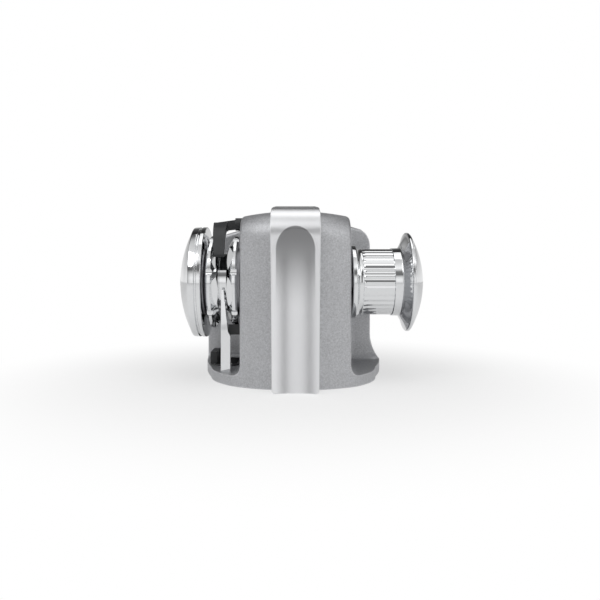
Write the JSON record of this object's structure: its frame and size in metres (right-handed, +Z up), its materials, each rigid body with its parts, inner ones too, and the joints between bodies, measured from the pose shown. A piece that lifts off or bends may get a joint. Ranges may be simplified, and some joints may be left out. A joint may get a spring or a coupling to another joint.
{
  "type": "horizontal anchor windlass",
  "caption": "Deck windlass with a grey cast casing, bright centre strap, chromed chain gypsy with clutch on one side and a ribbed warping drum on the other",
  "frame": {"origin": "on the deck plane, straight under the main shaft, in the middle plane of the centre strap", "axes": "+X along the main shaft towards the warping drum, -Y towards the bow side with the scoop, +Z up from the deck"},
  "size_m": [0.3222, 0.2659, 0.226],
  "materials": {
    "black_polymer": "moulded, slightly satin",
    "bronze": "machined bronze",
    "carbon": "pressed carbon",
    "cast_aluminium": "fine grained anodised casting",
    "chrome": "bright chrome plating",
    "copper": "copper",
    "gear_case": "raw casting",
    "iron": "machined iron",
    "magnet": "ferrite",
    "motor_black": "black paint",
    "rubber": "moulded rubber",
    "satin_aluminium": "satin polished and clear anodised",
    "stainless": "stainless steel",
    "steel": "ground steel"
  },
  "bodies": {
    "casing": {"base_seal": "rubber", "bottom_plate": "gear_case", "bottom_plate_screws": "stainless", "cable_gland": "black_polymer", "case_foot_screws": "stainless", "centre_strap": "satin_aluminium", "chain_guide": "black_polymer", "chain_pipe": "black_polymer", "chain_stripper": "chrome", "drum_side_bearing_outer_ring": "steel", "drum_side_bush": "bronze", "drum_side_seal": "rubber", "gear_case_gasket": "rubber", "gear_case_left": "gear_case", "gear_case_right": "gear_case", "gear_case_screws": "stainless", "gypsy_side_bearing_outer_ring": "steel", "gypsy_side_bush": "bronze", "gypsy_side_seal": "rubber", "housing": "cast_aluminium", "lever_pin": "stainless", "lever_spring": "steel", "motor_brushes": "carbon", "motor_casing": "motor_black", "motor_end_bell": "motor_black", "motor_flange": "motor_black", "motor_magnets": "magnet", "motor_terminals": "copper", "oil_plug": "stainless", "stripper_screws": "stainless", "worm_front_bearing_outer_ring": "steel", "worm_rear_bearing_outer_ring": "steel", "worm_seal": "rubber"},
    "shaft": {"main_shaft": "steel", "shaft_keys": "steel", "worm_wheel_hub": "iron", "worm_wheel_rim": "bronze", "drum_side_bearing_inner_ring": "steel", "drum_side_bearing_balls": "steel", "gypsy_side_bearing_inner_ring": "steel", "gypsy_side_bearing_balls": "steel", "shaft_circlips": "steel", "inner_cone": "steel", "drum": "chrome", "drum_washer": "stainless", "drum_nut": "stainless", "drum_cap": "chrome"},
    "rotor": {"worm_shaft": "steel", "armature": "iron", "commutator": "copper", "worm_front_bearing_inner_ring": "steel", "worm_front_bearing_balls": "steel", "worm_rear_bearing_inner_ring": "steel", "worm_rear_bearing_balls": "steel"},
    "gypsy": {"gypsy": "chrome", "gypsy_bush": "bronze"},
    "pressure_cone": {"outer_cone": "steel"},
    "clutch_cap": {"clutch_cap": "chrome", "clutch_socket": "stainless"},
    "lever": {"rope_lever": "black_polymer"}
  },
  "joints": [
    {"name": "main_shaft_turn", "type": "hinge", "parent": "casing", "child": "shaft", "pos_m": [0, 0, 0.126], "axis": [1, 0, 0], "continuous": true},
    {"name": "motor_turn", "type": "hinge", "parent": "casing", "child": "rotor", "pos_m": [0, 0, 0.062], "axis": [0, 1, 0], "continuous": true},
    {"name": "gypsy_turn", "type": "hinge", "parent": "shaft", "child": "gypsy", "pos_m": [0, 0, 0.126], "axis": [1, 0, 0], "continuous": true},
    {"name": "clutch_slide", "type": "slide", "parent": "shaft", "child": "pressure_cone", "axis": [-1, 0, 0], "range_m": [0, 0.0025]},
    {"name": "clutch_cap_turn", "type": "hinge", "parent": "pressure_cone", "child": "clutch_cap", "pos_m": [0, 0, 0.126], "axis": [-1, 0, 0], "range_deg": [0, 360]},
    {"name": "rope_lever_lift", "type": "hinge", "parent": "casing", "child": "lever", "pos_m": [-0.077, 0.008, 0.204], "axis": [-1, 0, 0], "range_deg": [0, 40], "stiffness_Nm_per_rad": 0.25, "springref_deg": -17.19}
  ],
  "couplings": [
    {"joint": "motor_turn", "follows": "main_shaft_turn", "ratio": -40},
    {"joint": "clutch_slide", "follows": "clutch_cap_turn", "m_per_rad": 0.00039789}
  ]
}
